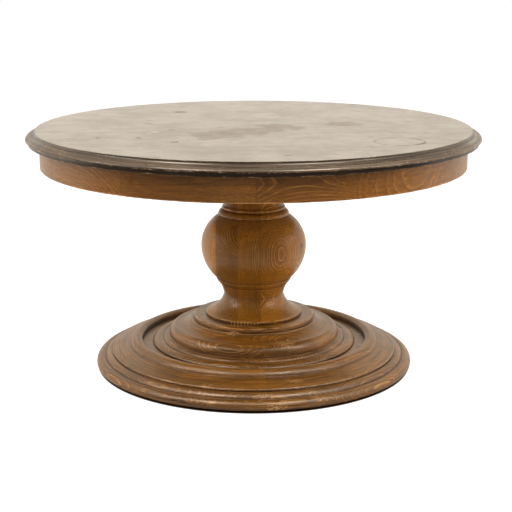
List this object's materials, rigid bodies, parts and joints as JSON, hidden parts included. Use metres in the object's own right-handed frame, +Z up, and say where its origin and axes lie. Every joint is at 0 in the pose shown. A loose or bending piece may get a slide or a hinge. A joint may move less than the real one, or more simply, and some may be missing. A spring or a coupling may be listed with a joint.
{
  "type": "pedestal cocktail table",
  "caption": "Low round wooden pedestal cocktail table: moulded disc top with a deep apron on a turned ball column and a wide stepped round base.",
  "frame": {"origin": "on the floor under the centre of the table, on the column's axis", "axes": "+Z up along the column, front towards -Y, top boards along X"},
  "size_m": [0.914, 0.914, 0.493],
  "materials": {
    "top_wood": "dark stained and waxed, worn satin sheen",
    "apron_wood": "brown stain, satin wax",
    "column_wood": "brown stain, satin wax",
    "base_wood": "brown stain, satin wax, worn edges",
    "inner_wood": "bare sawn softwood",
    "dowel_wood": "bare hardwood",
    "hardware": "zinc plated steel",
    "glide_pad": "matt dark nylon"
  },
  "bodies": {
    "root": {"apron_blocks": "inner_wood", "apron_segment_01": "apron_wood", "apron_segment_02": "apron_wood", "apron_segment_03": "apron_wood", "apron_segment_04": "apron_wood", "apron_segment_05": "apron_wood", "apron_segment_06": "apron_wood", "apron_segment_07": "apron_wood", "apron_segment_08": "apron_wood", "apron_segment_09": "apron_wood", "apron_segment_10": "apron_wood", "apron_segment_11": "apron_wood", "apron_segment_12": "apron_wood", "ball_cheek_left": "column_wood", "ball_cheek_right": "column_wood", "base_board": "base_wood", "bearer_front_to_back": "inner_wood", "bearer_screws": "hardware", "bearer_side_to_side": "inner_wood", "column_board_left": "column_wood", "column_board_middle": "column_wood", "column_board_right": "column_wood", "column_plate": "inner_wood", "dome_lower": "base_wood", "dome_upper": "base_wood", "foot_cheek_left": "column_wood", "foot_cheek_right": "column_wood", "foot_dowels": "dowel_wood", "glides": "glide_pad", "plate_screws": "hardware", "ring_lower_segment_01": "base_wood", "ring_lower_segment_02": "base_wood", "ring_lower_segment_03": "base_wood", "ring_lower_segment_04": "base_wood", "ring_lower_segment_05": "base_wood", "ring_lower_segment_06": "base_wood", "ring_lower_segment_07": "base_wood", "ring_lower_segment_08": "base_wood", "ring_lower_segment_09": "base_wood", "ring_lower_segment_10": "base_wood", "ring_upper_segment_01": "base_wood", "ring_upper_segment_02": "base_wood", "ring_upper_segment_03": "base_wood", "ring_upper_segment_04": "base_wood", "ring_upper_segment_05": "base_wood", "ring_upper_segment_06": "base_wood", "ring_upper_segment_07": "base_wood", "ring_upper_segment_08": "base_wood", "ring_upper_segment_09": "base_wood", "ring_upper_segment_10": "base_wood", "tie_nuts": "hardware", "tie_rod": "hardware", "tie_washers": "hardware", "top_board_1": "top_wood", "top_board_2": "top_wood", "top_board_3": "top_wood", "top_board_4": "top_wood", "top_board_5": "top_wood"}
  },
  "joints": []
}
